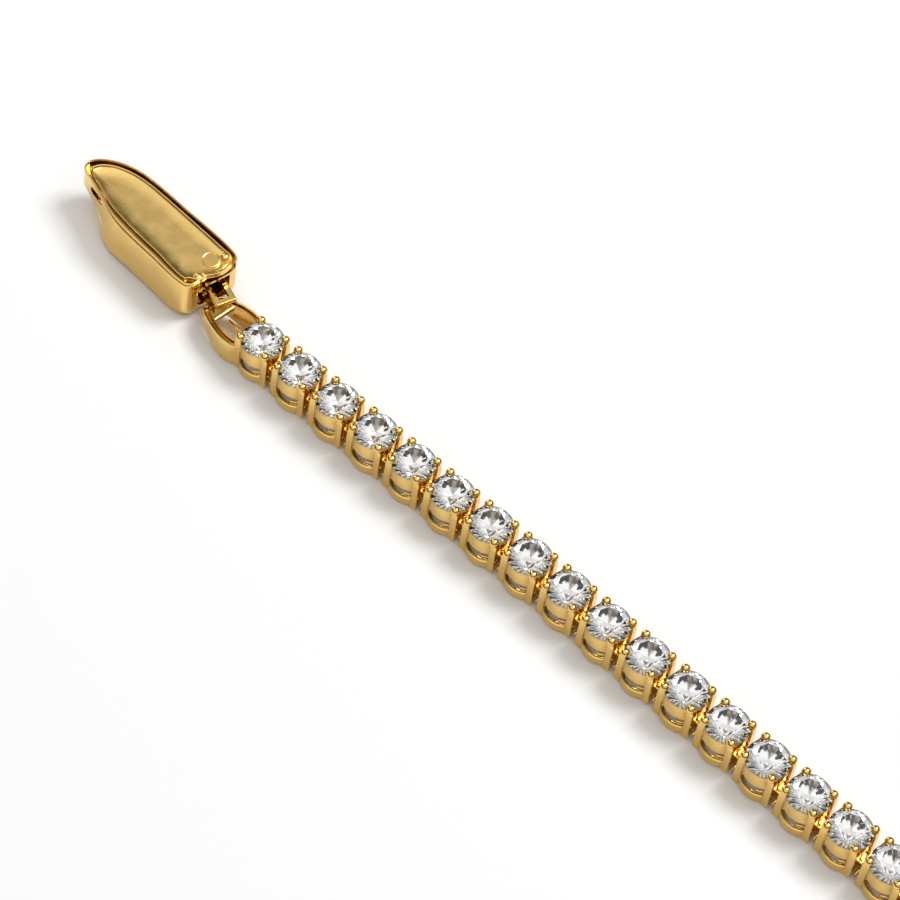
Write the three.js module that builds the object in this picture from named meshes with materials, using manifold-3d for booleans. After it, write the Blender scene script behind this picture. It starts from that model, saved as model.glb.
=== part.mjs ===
// Four-prong line bracelet of round brilliants with a boat-shaped box clasp, open and lying flat.
// Millimetres, +Z up. The run of stones follows the photographed curve, then the plain way round.
import * as THREE from 'three';
import { mergeVertices } from 'three/addons/utils/BufferGeometryUtils.js';
import Module from 'manifold-3d';

const wasm = await Module();
wasm.setup();

// Driving sizes
const PITCH = 3.4;              // stone centre to stone centre along the run
const STONE_COUNT = 42;
const SEEN_COUNT = 17;          // stones on the nearly straight photographed stretch
const STONE_R = 1.53;           // girdle, and the gallery band under it
const TABLE_R = 0.86;
const GIRDLE_Z = 3.0;           // middle of the girdle
const TABLE_Z = 3.48;
const BAND_Z = 1.68;            // lower edge of the band
const RIM_SIDES = 10;
const POST = { x: 1.2, y: 0.94, size: 0.54, top: 3.2, tip: 3.47, tipSize: 0.36 };
const RAIL = { r: 1.47, t: 0.3, h: 0.78 };            // lower gallery rails
const EYE = { z: 0.75, hole: 0.86, wall: 0.24, w: 0.5 };  // strap that goes round the next link's pin
const PIN = { x: -1.17, t: 0.26 };
const CASE = { h: 3.7, foot: 0.45, chin: 1.4, lug: 1.85, brow: 3.45, gap: 0.3, at: [5.43, -1.19], turn: -3.3 };
const POCKET_Z = 2.95;          // floor under the dished plate
const PLATE = { under: 3.2, dish: 3.34, lip: 3.57, lipW: 0.24 };
const MOUTH = { depth: 2.3, near: 1.25, far: -1.5, z0: 0.55, z1: 2.72 };
const STERN = { near: 0.95, far: -1.35 };              // where the plate's lip reaches the rear face
const BAIL = { at: [-1.4, 0.3], turn: -16, length: 2.75, half: 0.78, far: 0.4, near: 0.3, z0: 2.1, z1: 2.45 };
const STRAP = { x0: 0.1, x1: 3.1, y: 0.5, half: 0.2, z0: 0.84, z1: 2.16, wall: 0.22 };
const CASE_PIN = { x: 1.1, z: 1.48, t: 0.28, near: 1.45, far: -1.7 };
const FORK = { h: 1.95, foot: 0.1, turn: -4.5, barX: 3.85, noseX: 4.95, noseZ: 1.48 };
const HEADING = [-34.7, -2.6, 0.7, 2.4];  // photographed run, degrees against the step from its middle
const NINTH = [9.11, -11.19];   // ninth stone, in the floor frame that faces the lens
const TURN_STEP = 7.2;          // degrees from link to link on the plain way round

// Outlines of the case from the rear corner on the stamped side: at the rim, and at the hull under the bow
const RIM_LINE = [[0.42, 1.2], [0.5, 1.95], [0.95, 2.3], [4, 2.34], [6.4, 2.32], [7.7, 2.22], [8.5, 2.06],
  [9.3, 1.78], [10.1, 1.5], [11.2, 1.15], [12.1, 0.87], [12.65, 0.66], [12.92, 0.35], [12.95, -0.02],
  [12.8, -0.42], [12.5, -0.8], [12.05, -1.2], [11.45, -1.6], [10.7, -1.92], [9.8, -2.16], [8.4, -2.3],
  [5.5, -2.34], [0.9, -2.34], [0.25, -2.08], [0.04, -1.4]];
const HULL_LINE = [[0.42, 1.2], [0.5, 1.95], [0.95, 2.3], [4, 2.34], [6.4, 2.34], [7.5, 2.34], [8.2, 2.32],
  [8.8, 2.18], [9.3, 1.98], [9.8, 1.7], [10.25, 1.38], [10.55, 1.05], [10.72, 0.65], [10.8, 0.2],
  [10.78, -0.25], [10.68, -0.65], [10.45, -1.05], [10.15, -1.4], [9.75, -1.75], [9.2, -2.05], [8.4, -2.28],
  [5.5, -2.34], [0.9, -2.34], [0.25, -2.08], [0.04, -1.4]];
const PLATE_LINE = [[1.05, 1.45], [4, 1.5], [6.9, 1.42], [8.1, 1.34], [9.1, 1.2], [10.5, 0.84], [11.4, 0.6],
  [12.0, 0.38], [12.25, 0.05], [12.05, -0.35], [11.6, -0.8], [11.0, -1.2], [10.2, -1.5], [9.2, -1.68],
  [7, -1.78], [1.2, -1.78], [0.72, -1.5], [0.45, -0.95], [0.4, -0.4], [0.55, 0.2], [0.75, 0.75], [0.9, 1.2]];
const CAVITY_LINE = [[2.0, -1.6], [8.3, -1.6], [9.7, -0.7], [9.7, 0.7], [8.3, 1.6], [2.0, 1.6]];
const EYELET = { x0: 10.05, x1: 11.35, z0: 2.5, z1: 3.1 };   // slot through the bow
const FORK_OUT = [[0.95, 1.1], [1.5, 1.5], [2.4, 1.6], [3.3, 1.5], [4.1, 1.28], [4.8, 1.02], [5.12, 0.8]];
const FORK_IN = [[5.1, 0.62], [4.5, 0.66], [3.8, 0.86], [3.2, 1.06], [2.4, 1.16], [1.7, 1.1], [1.2, 0.75]];

const gold = { color: 0xc99b4a, roughness: 0.2, metalness: 1.0 };
const satin = { color: 0xbf9550, roughness: 0.4, metalness: 1.0 };

// A manifold solid from plain geometry, with shared corners welded
function solid(geometry) {
  const plain = geometry.index ? geometry.toNonIndexed() : geometry;
  plain.deleteAttribute('normal');
  plain.deleteAttribute('uv');
  const welded = mergeVertices(plain, 1e-5);
  return new wasm.Manifold(new wasm.Mesh({
    numProp: 3,
    vertProperties: new Float32Array(welded.attributes.position.array),
    triVerts: new Uint32Array(welded.index.array),
  }));
}

const area = (line) => line.reduce((sum, [x, y], i) => {
  const [u, v] = line[(i + 1) % line.length];
  return sum + x * v - u * y;
}, 0) / 2;

// A closed body lofted through levels, each a ring of the same number of [x, y, z] points
function loft(levels) {
  const rings = area(levels[0]) < 0 ? levels.map((ring) => ring.slice().reverse()) : levels;
  const count = rings[0].length;
  const faces = [];
  const cap = (ring, base, down) => {
    const flat = ring.map(([x, y]) => new THREE.Vector2(x, y));
    for (const [a, b, c] of THREE.ShapeUtils.triangulateShape(flat, [])) {
      faces.push(down ? [base + c, base + b, base + a] : [base + a, base + b, base + c]);
    }
  };
  cap(rings[0], 0, true);
  cap(rings[rings.length - 1], (rings.length - 1) * count, false);
  for (let k = 0; k + 1 < rings.length; k++) {
    for (let i = 0; i < count; i++) {
      const a = k * count + i;
      const b = k * count + (i + 1) % count;
      faces.push([a, b, b + count], [a, b + count, a + count]);
    }
  }
  return new wasm.Manifold(new wasm.Mesh({
    numProp: 3,
    vertProperties: new Float32Array(rings.flat(2)),
    triVerts: new Uint32Array(faces.flat()),
  }));
}

const level = (line, z) => line.map(([x, y]) => [x, y, z]);
const prism = (line, z0, z1) => loft([level(line, z0), level(line, z1)]);
const box = (x0, x1, y0, y1, z0, z1) => prism([[x0, y0], [x1, y0], [x1, y1], [x0, y1]], z0, z1);

function turned(line, degrees) {
  const c = Math.cos(degrees * Math.PI / 180);
  const s = Math.sin(degrees * Math.PI / 180);
  return line.map(([x, y]) => [x * c - y * s, x * s + y * c]);
}

// Moves every point of an outline towards (or, below zero, away from) the spine of the case
function inset(line, by, sternBy = by) {
  return line.map(([x, y]) => {
    const dx = Math.min(Math.max(x, 1.5), 9.6) - x;
    const reach = Math.hypot(dx, y);
    const step = x < 1 ? sternBy : by;
    return [x + dx / reach * step, y - y / reach * step];
  });
}

function lathe(profile, sides, x = 0, y = 0) {
  const outline = profile.map(([r, z]) => new THREE.Vector2(r, z));
  const body = new THREE.LatheGeometry(outline, sides, Math.PI / 2 / sides);
  body.rotateX(Math.PI / 2);
  body.translate(x, y, 0);
  return solid(body);
}

function post(sx, sy) {
  const ring = (x, y, size, z) => {
    const h = size / 2;
    return [[x - h, y - h, z], [x + h, y - h, z], [x + h, y + h, z], [x - h, y + h, z]];
  };
  return loft([
    ring(sx * POST.x, sy * POST.y, POST.size, 0),
    ring(sx * POST.x, sy * POST.y, POST.size, POST.top),
    ring(sx * (POST.x - 0.09), sy * (POST.y + 0.06), POST.tipSize, POST.tip),
  ]);
}

// Bowed rail between the two posts of one side
function rail(side) {
  const reach = RAIL.r - RAIL.t;
  const bow = [[-1.0, 0.7], [-0.42, reach], [0.42, reach], [1.0, 0.7]];
  const back = bow.map(([x, y]) => [x, side * y]);
  const front = bow.map(([x, y]) => [x, side * (y + RAIL.t)]).reverse();
  return prism([...back, ...front], 0, RAIL.h);
}

// Stone, gallery band, four prongs and rails of one link, with its pin and its strap
function setting({ strap, pin }) {
  let body = lathe([[0, BAND_Z], [STONE_R, BAND_Z], [STONE_R, GIRDLE_Z + 0.08], [TABLE_R, TABLE_Z],
    [0, TABLE_Z]], RIM_SIDES);
  for (const sx of [-1, 1]) for (const sy of [-1, 1]) body = body.add(post(sx, sy));
  for (const side of [-1, 1]) body = body.add(rail(side));
  if (pin) {
    const h = PIN.t / 2;
    body = body.add(box(PIN.x - h, PIN.x + h, -0.8, 0.8, EYE.z - h, EYE.z + h));
  }
  if (strap) {
    const cx = PITCH + PIN.x;
    const r = EYE.hole / 2;
    const o = r + EYE.wall;
    const near = STONE_R - 0.46;
    body = body.add(box(near, cx + o, -EYE.w / 2, EYE.w / 2, EYE.z - o, EYE.z + o))
      .add(box(near, near + 0.34, -EYE.w / 2, EYE.w / 2, EYE.z, BAND_Z + 0.1))
      .subtract(box(cx - r, cx + r, -1, 1, EYE.z - r, EYE.z + r));
  }
  return body;
}

// The horseshoe that is soldered to the first link, with its cross bar and its nose bar
function fork() {
  const half = 180 + FORK.turn;
  const bar = (x, reach, t, z0, z1) => prism(
    turned([[x - t, -reach], [x + t, -reach], [x + t, reach], [x - t, reach]], half), z0, z1);
  let body = bar(FORK.barX, 0.95, 0.15, FORK.h - 0.45, FORK.h - 0.05)
    .add(bar(FORK.noseX, 0.75, 0.14, FORK.noseZ - 0.14, FORK.noseZ + 0.14));
  for (const side of [-1, 1]) {
    const arm = [...FORK_OUT, ...FORK_IN].map(([x, y]) => [x, side * y]);
    body = body.add(prism(turned(arm, half), FORK.foot, FORK.h));
  }
  return body;
}

function caseBody() {
  const t = CASE_PIN.t / 2;
  return loft([
    level(inset(HULL_LINE, CASE.foot, 0.95), 0), level(inset(HULL_LINE, 0.12, 0.5), 0.2),
    level(inset(HULL_LINE, 0, 0.1), 0.8), level(HULL_LINE, CASE.chin),
    level(inset(RIM_LINE, 0.08, 0), CASE.lug), level(RIM_LINE, CASE.lug + 0.2),
    level(RIM_LINE, CASE.brow), level(inset(RIM_LINE, 0.14), CASE.h),
  ])
    .subtract(prism(inset(PLATE_LINE, -CASE.gap), POCKET_Z, CASE.h + 1))
    .subtract(box(-1, 1, STERN.far, STERN.near, POCKET_Z, CASE.h + 1))
    .subtract(box(-1, MOUTH.depth, MOUTH.far, MOUTH.near, MOUTH.z0, MOUTH.z1))
    .subtract(prism(CAVITY_LINE, MOUTH.z0 + 0.1, MOUTH.z1))
    .subtract(box(EYELET.x0, EYELET.x1, -3, 3, EYELET.z0, EYELET.z1))
    .add(box(CASE_PIN.x - t, CASE_PIN.x + t, CASE_PIN.far, CASE_PIN.near, CASE_PIN.z - t, CASE_PIN.z + t));
}

// The dished plate in the top of the case, with its two bosses and its round seal
function casePlate() {
  let body = loft([level(PLATE_LINE, PLATE.under), level(PLATE_LINE, PLATE.lip)])
    .subtract(loft([level(inset(PLATE_LINE, 0.5), PLATE.dish), level(inset(PLATE_LINE, PLATE.lipW), PLATE.lip),
      level(inset(PLATE_LINE, PLATE.lipW), 5)]));
  for (const [x, y] of [[1.15, 1.02], [1.2, -1.38]]) {
    body = body.add(lathe([[0, PLATE.under], [0.32, PLATE.under], [0.32, 3.5], [0.2, 3.7], [0, 3.7]], 8, x, y));
  }
  return body.add(lathe([[0, PLATE.under + 0.04], [0.6, PLATE.under + 0.04], [0.6, 3.45], [0, 3.45]], 10, 1.6, -0.62));
}

// The flat loop that comes out of the mouth askew, with the strap under its near bar
function bail() {
  const { at, turn, length, half, far, near, z0, z1 } = BAIL;
  const ring = (i) => [STRAP.x0 + i, STRAP.x1 - i, STRAP.y - STRAP.half - i * 9, STRAP.y + STRAP.half + i * 9,
    STRAP.z0 + i, STRAP.z1 - i];
  return box(0, length, -half, half, z0, z1)
    .subtract(box(far, length - far, far - half, half - near, 0, 9))
    .add(box(...ring(0)).subtract(box(...ring(STRAP.wall))))
    .rotate([0, 0, turn])
    .translate([at[0], at[1], 0]);
}

// The plain end piece that goes into the case, on a pin through the last link's strap
function tongue() {
  const cx = PITCH + PIN.x;
  const h = PIN.t / 2;
  let body = loft([0.3, 1.9].map((z) => [[3.2, -0.95, z], [7.4, -0.95, z], [8.6, -0.6, z], [8.6, 0.6, z],
    [7.4, 0.95, z], [3.2, 0.95, z]]))
    .add(box(cx - h, cx + h, -0.7, 0.7, EYE.z - h, EYE.z + h));
  for (const side of [-1, 1]) {
    body = body.add(box(1.85, 3.4, Math.min(side * 0.55, side * 0.85), Math.max(side * 0.55, side * 0.85), 0.3, 1.2));
  }
  return body;
}

const radians = (degrees) => degrees * Math.PI / 180;

// Heading of a link counted from the clasp: the photographed bend, then an even turn
function heading(i) {
  const s = (Math.min(i, SEEN_COUNT) - 9) / 8;
  const seen = HEADING.reduce((sum, c, power) => sum + c * s ** power, 0);
  const past = Math.max(i - SEEN_COUNT, 0);
  return seen + (past ? [2, 6, 12][Math.min(past, 3) - 1] + Math.max(past - 3, 0) * TURN_STEP : 0);
}

function places() {
  const step = (i) => {
    const mean = radians((heading(i) + heading(i + 1)) / 2);
    return [PITCH * Math.cos(mean), PITCH * Math.sin(mean)];
  };
  const at = { 9: NINTH };
  for (let i = 9; i < STONE_COUNT; i++) at[i + 1] = [at[i][0] + step(i)[0], at[i][1] + step(i)[1]];
  for (let i = 9; i > 1; i--) at[i - 1] = [at[i][0] - step(i - 1)[0], at[i][1] - step(i - 1)[1]];
  return Array.from({ length: STONE_COUNT }, (_, k) => ({ x: at[k + 1][0], y: at[k + 1][1], turn: heading(k + 1) }));
}

function node(name, body, look, place) {
  const { vertProperties, triVerts } = body.getMesh();
  const geometry = new THREE.BufferGeometry();
  geometry.setAttribute('position', new THREE.BufferAttribute(new Float32Array(vertProperties), 3));
  geometry.setIndex(new THREE.BufferAttribute(new Uint32Array(triVerts), 1));
  geometry.rotateZ(radians(place.turn));
  geometry.translate(place.x, place.y, 0);
  geometry.computeVertexNormals();
  const mesh = new THREE.Mesh(geometry, new THREE.MeshStandardMaterial(look));
  mesh.name = name;
  return mesh;
}

const run = places();
const first = run[0];
const towards = radians(first.turn + 180);
const casePlace = {
  x: first.x + Math.cos(towards) * CASE.at[0] - Math.sin(towards) * CASE.at[1],
  y: first.y + Math.sin(towards) * CASE.at[0] + Math.cos(towards) * CASE.at[1],
  turn: first.turn + 180 + CASE.turn,
};

const bracelet = new THREE.Group();
bracelet.name = 'tennis_bracelet';
bracelet.add(
  node('clasp_case', caseBody(), gold, casePlace),
  node('clasp_plate', casePlate(), satin, casePlace),
  node('clasp_bail', bail(), gold, casePlace),
  node('end_link', setting({ strap: true, pin: false }).add(fork()), gold, first),
);
const link = setting({ strap: true, pin: true });
for (let i = 2; i <= STONE_COUNT; i++) {
  bracelet.add(node(`stone_link_${String(i).padStart(2, '0')}`, link, gold, run[i - 1]));
}
bracelet.add(node('clasp_tongue', tongue(), gold, run[STONE_COUNT - 1]));

// The origin is the middle of the underside of the whole
const bounds = new THREE.Box3().setFromObject(bracelet);
const middle = bounds.getCenter(new THREE.Vector3());
for (const mesh of bracelet.children) mesh.geometry.translate(-middle.x, -middle.y, -bounds.min.z);

export default bracelet;
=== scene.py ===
"""Four-prong line bracelet of round brilliants with a boat-shaped box clasp, dressed for rendering.

The builders work in millimetres, each in the frame of its own link or of the clasp. A finished
piece is brought to metres and to its place in one step, so its object stays at the origin.
"""

import logging
import math
from dataclasses import dataclass, field
from enum import Enum
from typing import Callable, Iterable, Sequence

import bmesh
import bpy
from mathutils import Matrix, Vector


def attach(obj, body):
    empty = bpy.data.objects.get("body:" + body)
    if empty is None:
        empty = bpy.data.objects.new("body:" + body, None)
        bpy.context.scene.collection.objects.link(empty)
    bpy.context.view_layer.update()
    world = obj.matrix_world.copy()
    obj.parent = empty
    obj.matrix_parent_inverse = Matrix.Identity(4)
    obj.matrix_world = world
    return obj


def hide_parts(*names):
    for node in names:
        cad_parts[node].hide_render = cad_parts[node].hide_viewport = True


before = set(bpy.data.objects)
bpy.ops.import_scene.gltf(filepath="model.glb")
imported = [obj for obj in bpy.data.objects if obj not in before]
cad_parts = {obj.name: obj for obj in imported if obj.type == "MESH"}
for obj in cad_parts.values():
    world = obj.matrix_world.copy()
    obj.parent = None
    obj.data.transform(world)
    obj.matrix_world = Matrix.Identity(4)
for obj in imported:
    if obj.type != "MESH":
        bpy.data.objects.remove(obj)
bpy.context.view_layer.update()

LOG = logging.getLogger("tennis_bracelet")
MM = 0.001
MIDDLE = (25.553108, -8.133767)
BODY = "root"
SHARP_ANGLE = math.radians(32)
GRAIN_HEIGHT = 0.00001

Flat = tuple[float, float]
Spot = tuple[float, float, float]
Colour = tuple[float, float, float, float]
Outline = list[Flat]


class Slot(Enum):
    """The record's finishes."""

    POLISHED = "polished_gold"
    SATIN = "satin_gold"
    STONE = "brilliant"


class Join(Enum):
    """How one closed body works on another."""

    ADD = "UNION"
    TAKE = "DIFFERENCE"


# Outlines


def share_of(value: float, start: float, width: float) -> float:
    """How far a value has come from start over a width, between 0 and 1."""
    return min(max((value - start) / width, 0.0), 1.0)


def circle(centre: Flat, radius: float, sides: int) -> Outline:
    """Draws a circle as an even polygon."""
    turns = [2 * math.pi * k / sides for k in range(sides)]
    return [(centre[0] + radius * math.cos(t), centre[1] + radius * math.sin(t)) for t in turns]


def curve_through(points: Sequence[Flat], each: int) -> Outline:
    """Draws a smooth closed line through points that are unevenly spaced.

    Args:
        points: The points, in order.
        each: Number of steps from one point to the next.

    Returns:
        The points of the line, each times as many.
    """
    count = len(points)
    line: Outline = []
    for i in range(count):
        p = [Vector(points[(i + k) % count]) for k in (-1, 0, 1, 2)]
        knots = [0.0]
        for a, b in zip(p, p[1:]):
            knots.append(knots[-1] + math.sqrt(max((b - a).length, 1e-6)))
        for k in range(each):
            t = knots[1] + (knots[2] - knots[1]) * k / each
            blend = p
            for depth in range(1, 4):
                blend = [
                    (blend[j] * (knots[j + depth] - t) + blend[j + 1] * (t - knots[j]))
                    / (knots[j + depth] - knots[j])
                    for j in range(4 - depth)
                ]
            line.append((blend[0].x, blend[0].y))
    return line


def drawn_in(line: Outline, by: Callable[[float, float], float], spine: Flat) -> Outline:
    """Moves every point of an outline towards the spine of the clasp.

    Args:
        line: The outline.
        by: Distance to move a point at x, y; below zero it moves outwards.
        spine: First and last x of the spine, which lies at y 0.

    Returns:
        The new outline.
    """
    moved: Outline = []
    for x, y in line:
        dx = min(max(x, spine[0]), spine[1]) - x
        reach = math.hypot(dx, y)
        step = by(x, y)
        moved.append((x + dx / reach * step, y - y / reach * step))
    return moved


def level(line: Outline, z: float) -> list[Vector]:
    """Lays an outline at a height."""
    return [Vector((x, y, z)) for x, y in line]


def rounded_box(low: Flat, high: Flat, radius: float, each: int = 5) -> Outline:
    """Draws a rectangle with round corners, counter-clockwise.

    Args:
        low: Lower left corner.
        high: Upper right corner.
        radius: Corner radius.
        each: Number of steps round a corner.

    Returns:
        The outline.
    """
    corners = [
        (high[0] - radius, low[1] + radius, -90),
        (high[0] - radius, high[1] - radius, 0),
        (low[0] + radius, high[1] - radius, 90),
        (low[0] + radius, low[1] + radius, 180),
    ]
    line: Outline = []
    for cx, cy, start in corners:
        for k in range(each + 1):
            angle = math.radians(start + 90 * k / each)
            line.append((cx + radius * math.cos(angle), cy + radius * math.sin(angle)))
    return line


# Bodies under work


class Blank:
    """A closed body in millimetres, shaped with bmesh operators."""

    def __init__(self) -> None:
        """Starts with nothing."""
        self.bm = bmesh.new()

    @classmethod
    def block(
        cls, low: Sequence[float], high: Sequence[float], soften: float, segments: int = 3
    ) -> "Blank":
        """Makes a box with softened edges.

        Args:
            low: Lowest corner.
            high: Highest corner.
            soften: Width of the edge rounding.
            segments: Number of faces in it.

        Returns:
            The body.
        """
        blank = cls()
        bmesh.ops.create_cube(blank.bm, size=1.0)
        size = [b - a for a, b in zip(low, high)]
        middle = [(a + b) / 2 for a, b in zip(low, high)]
        bmesh.ops.scale(blank.bm, vec=size, verts=blank.bm.verts)
        bmesh.ops.translate(blank.bm, vec=middle, verts=blank.bm.verts)
        return blank.softened(blank.bm.edges[:], soften, segments)

    @classmethod
    def rod(
        cls,
        start: Sequence[float],
        end: Sequence[float],
        radius: float,
        dome: float,
        sides: int = 16,
    ) -> "Blank":
        """Makes a round bar with domed ends.

        Args:
            start: One end.
            end: The other end.
            radius: Radius of the bar.
            dome: Width of the rounding at the ends.
            sides: Number of sides.

        Returns:
            The body.
        """
        blank = cls()
        a, b = Vector(start), Vector(end)
        bmesh.ops.create_cone(
            blank.bm,
            cap_ends=True,
            segments=sides,
            radius1=radius,
            radius2=radius,
            depth=(b - a).length,
        )
        rims = [e for e in blank.bm.edges if any(len(f.verts) > 4 for f in e.link_faces)]
        blank.softened(rims, dome, 3)
        turn = (b - a).to_track_quat("Z", "Y").to_matrix().to_4x4()
        bmesh.ops.transform(
            blank.bm, matrix=Matrix.Translation((a + b) / 2) @ turn, verts=blank.bm.verts
        )
        return blank

    @classmethod
    def ball(
        cls, centre: Sequence[float], radius: float, squash: float = 1.0, sides: int = 18
    ) -> "Blank":
        """Makes a ball.

        Args:
            centre: Its middle.
            radius: Its radius across.
            squash: Its height as a share of its width.
            sides: Number of sides.

        Returns:
            The body.
        """
        blank = cls()
        bmesh.ops.create_uvsphere(
            blank.bm, u_segments=sides, v_segments=sides * 2 // 3, radius=radius
        )
        bmesh.ops.scale(blank.bm, vec=(1, 1, squash), verts=blank.bm.verts)
        bmesh.ops.translate(blank.bm, vec=centre, verts=blank.bm.verts)
        return blank

    @classmethod
    def turned(
        cls, profile: Sequence[Flat], steps: int, start: float = 0.0, sweep: float = 360.0
    ) -> "Blank":
        """Spins a closed profile of (radius, height) points about the upright axis.

        Args:
            profile: The profile.
            steps: Number of steps.
            start: Angle of the first section in degrees.
            sweep: Angle of the whole turn in degrees.

        Returns:
            The body: a ring, or a bow with flat ends.
        """
        blank = cls()
        bm = blank.bm
        turn = math.radians(start)
        verts = [bm.verts.new((r * math.cos(turn), r * math.sin(turn), z)) for r, z in profile]
        whole = sweep >= 360.0
        edges = [bm.edges.new((a, b)) for a, b in zip(verts, verts[1:] + verts[:1])]
        geom: list = [*verts, *edges]
        if not whole:
            geom.append(bm.faces.new(verts))
        return blank.spun(geom, math.radians(sweep), steps, whole)

    def spun(self, geom: list, angle: float, steps: int, merge: bool) -> "Blank":
        """Spins part of the body about the upright axis.

        Args:
            geom: What is spun.
            angle: Angle of the turn in radians.
            steps: Number of steps.
            merge: Whether the last step meets the first.

        Returns:
            The body itself.
        """
        bmesh.ops.spin(
            self.bm,
            geom=geom,
            cent=(0, 0, 0),
            axis=(0, 0, 1),
            dvec=(0, 0, 0),
            angle=angle,
            steps=steps,
            use_merge=merge,
            use_duplicate=False,
        )
        return self.closed()

    @classmethod
    def lofted(cls, rings: Sequence[Sequence[Vector]]) -> "Blank":
        """Draws one closed ring of points after another, and closes both ends.

        Args:
            rings: Rings of the same number of points, from one end to the other.

        Returns:
            The body.
        """
        blank = cls()
        bm = blank.bm
        verts = [bm.verts.new(p) for p in rings[0]]
        edges = [bm.edges.new((a, b)) for a, b in zip(verts, verts[1:] + verts[:1])]
        bmesh.ops.contextual_create(bm, geom=edges)
        for ring in rings[1:]:
            grown = bmesh.ops.extrude_edge_only(bm, edges=edges)["geom"]
            fresh = {g for g in grown if isinstance(g, bmesh.types.BMVert)}
            risen = [
                next(e.other_vert(v) for e in v.link_edges if e.other_vert(v) in fresh)
                for v in verts
            ]
            for vert, point in zip(risen, ring):
                vert.co = point
            verts = risen
            edges = [bm.edges.get((a, b)) for a, b in zip(verts, verts[1:] + verts[:1])]
        bmesh.ops.contextual_create(bm, geom=edges)
        return blank.closed()

    def softened(
        self, edges: Sequence[bmesh.types.BMEdge], width: float, segments: int
    ) -> "Blank":
        """Rounds edges of the body.

        Args:
            edges: The edges.
            width: Width of the rounding.
            segments: Number of faces in it.

        Returns:
            The body itself.
        """
        bmesh.ops.bevel(
            self.bm,
            geom=edges,
            offset=width,
            segments=segments,
            profile=0.5,
            affect="EDGES",
            material=-1,
        )
        return self

    def closed(self) -> "Blank":
        """Merges doubles and turns every face outwards.

        Returns:
            The body itself.
        """
        bmesh.ops.remove_doubles(self.bm, verts=self.bm.verts, dist=1e-5)
        bmesh.ops.recalc_face_normals(self.bm, faces=self.bm.faces)
        return self

    def moved(self, matrix: Matrix) -> "Blank":
        """Moves the whole body.

        Args:
            matrix: The move, which may mirror it.

        Returns:
            The body itself.
        """
        bmesh.ops.transform(self.bm, matrix=matrix, verts=self.bm.verts)
        if matrix.determinant() < 0:
            bmesh.ops.reverse_faces(self.bm, faces=self.bm.faces)
        return self

    def twin(self, matrix: Matrix) -> "Blank":
        """Makes a moved or mirrored copy.

        Args:
            matrix: Its move from this body.

        Returns:
            The copy.
        """
        other = Blank()
        other.bm.free()
        other.bm = self.bm.copy()
        return other.moved(matrix)

    def mesh(self, name: str) -> bpy.types.Mesh:
        """Ends the work and returns the body as a mesh.

        Args:
            name: Name of the mesh.

        Returns:
            The mesh, in millimetres.
        """
        made = bpy.data.meshes.new(name)
        self.bm.to_mesh(made)
        self.bm.free()
        return made


MIRROR_Y = Matrix.Scale(-1, 4, (0, 1, 0))
MIRROR_X = Matrix.Scale(-1, 4, (1, 0, 0))
BOTH_SIDES = (Matrix.Identity(4), MIRROR_Y)
ALL_FOUR = (Matrix.Identity(4), MIRROR_X, MIRROR_Y, MIRROR_X @ MIRROR_Y)
LAID_DOWN = Matrix.Rotation(math.radians(90), 4, "X")


def shown(name: str, data: bpy.types.ID) -> bpy.types.Object:
    """Makes an object of a mesh, lamp or lens and puts it in the scene.

    Args:
        name: Its name.
        data: The mesh, lamp or lens.

    Returns:
        The object.
    """
    made = bpy.data.objects.new(name, data)
    bpy.context.scene.collection.objects.link(made)
    return made


def looped(outer: Outline, inner: Outline, span: Flat, clear: float) -> tuple[Blank, Blank]:
    """Makes a flat strap that stands in the plane of X and Z.

    Args:
        outer: Its outer outline.
        inner: The outline of its opening.
        span: Its two faces across, in the direction that the laid plane gives them.
        clear: How far the opening's body reaches to either side.

    Returns:
        The strap as a full body, and the body that cuts its opening.
    """
    loop = Blank.lofted([level(outer, k) for k in span]).moved(LAID_DOWN)
    hole = Blank.lofted([level(inner, k) for k in (-clear, clear)]).moved(LAID_DOWN)
    return loop, hole


def fused(name: str, body: Blank, work: Iterable[tuple[Join, Blank]]) -> bpy.types.Mesh:
    """Adds bodies to a body and takes others away, so that one closed mesh is left.

    Args:
        name: Name of the mesh.
        body: The body to start from.
        work: What is added and taken away, in order.

    Returns:
        The mesh, in millimetres, whose flat faces keep flat shading beside their rounded edges.
    """
    base = shown(name, body.mesh(name))
    tools: list[bpy.types.Object] = []
    for join, blank in work:
        tools.append(shown("tool", blank.mesh("tool")))
        step = base.modifiers.new("step", "BOOLEAN")
        step.operation = join.value
        step.solver = "EXACT"
        step.object = tools[-1]
    graph = bpy.context.evaluated_depsgraph_get()
    solid = bpy.data.meshes.new_from_object(base.evaluated_get(graph))
    solid.shade_smooth()
    solid.set_sharp_from_angle(angle=SHARP_ANGLE)
    base.modifiers.clear()
    raw, base.data = base.data, solid
    bpy.data.meshes.remove(raw)
    even = base.modifiers.new("even", "WEIGHTED_NORMAL")
    even.keep_sharp = True
    graph.update()
    solid = bpy.data.meshes.new_from_object(base.evaluated_get(graph))
    for used in (*tools, base):
        spent = used.data
        bpy.data.objects.remove(used)
        bpy.data.meshes.remove(spent)
    solid.name = name
    return solid


def placed(
    name: str,
    template: bpy.types.Mesh,
    matrix: Matrix,
    look: bpy.types.Material,
    slot: Slot,
    nodes: Sequence[str] = (),
) -> bpy.types.Object:
    """Puts a copy of a mesh in its place as a piece of the bracelet.

    Args:
        name: Name of the piece.
        template: The mesh, in millimetres.
        matrix: Its place in the row frame, in metres.
        look: Its material.
        slot: Its finish in the record; not used.
        nodes: The CAD nodes it stands for.

    Returns:
        The object, which rides on the one body.
    """
    mesh = template.copy()
    mesh.name = name
    mesh.transform(matrix)
    mesh.materials.clear()
    mesh.materials.append(look)
    piece = shown(name, mesh)
    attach(piece, BODY)
    if nodes:
        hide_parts(*nodes)
    LOG.info("%s: %d faces", name, len(mesh.polygons))
    return piece


# Finishes


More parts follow.
